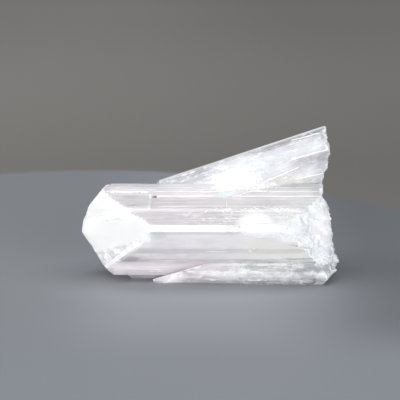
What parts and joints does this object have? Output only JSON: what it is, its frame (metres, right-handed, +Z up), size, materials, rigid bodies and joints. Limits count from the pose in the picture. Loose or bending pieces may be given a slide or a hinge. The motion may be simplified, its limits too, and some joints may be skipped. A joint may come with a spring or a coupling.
{
  "type": "danburite crystal",
  "caption": "Clear to milky danburite: a stout striated prism with a wedge tip, a second prism grown through its back, and a thin plate it rests on.",
  "frame": {"origin": "middle of the bounding box's base, on the surface that the specimen lies on", "axes": "+X from the wedge tip to the broken end along the main prism, +Y towards the back, +Z up"},
  "size_m": [0.0648, 0.0342, 0.037],
  "materials": {
    "danburite": "transparent to milky, faintly pink, glossy growth faces and a frosted broken end"
  },
  "bodies": {
    "root": {"danburite_crystal": "danburite"}
  },
  "joints": []
}
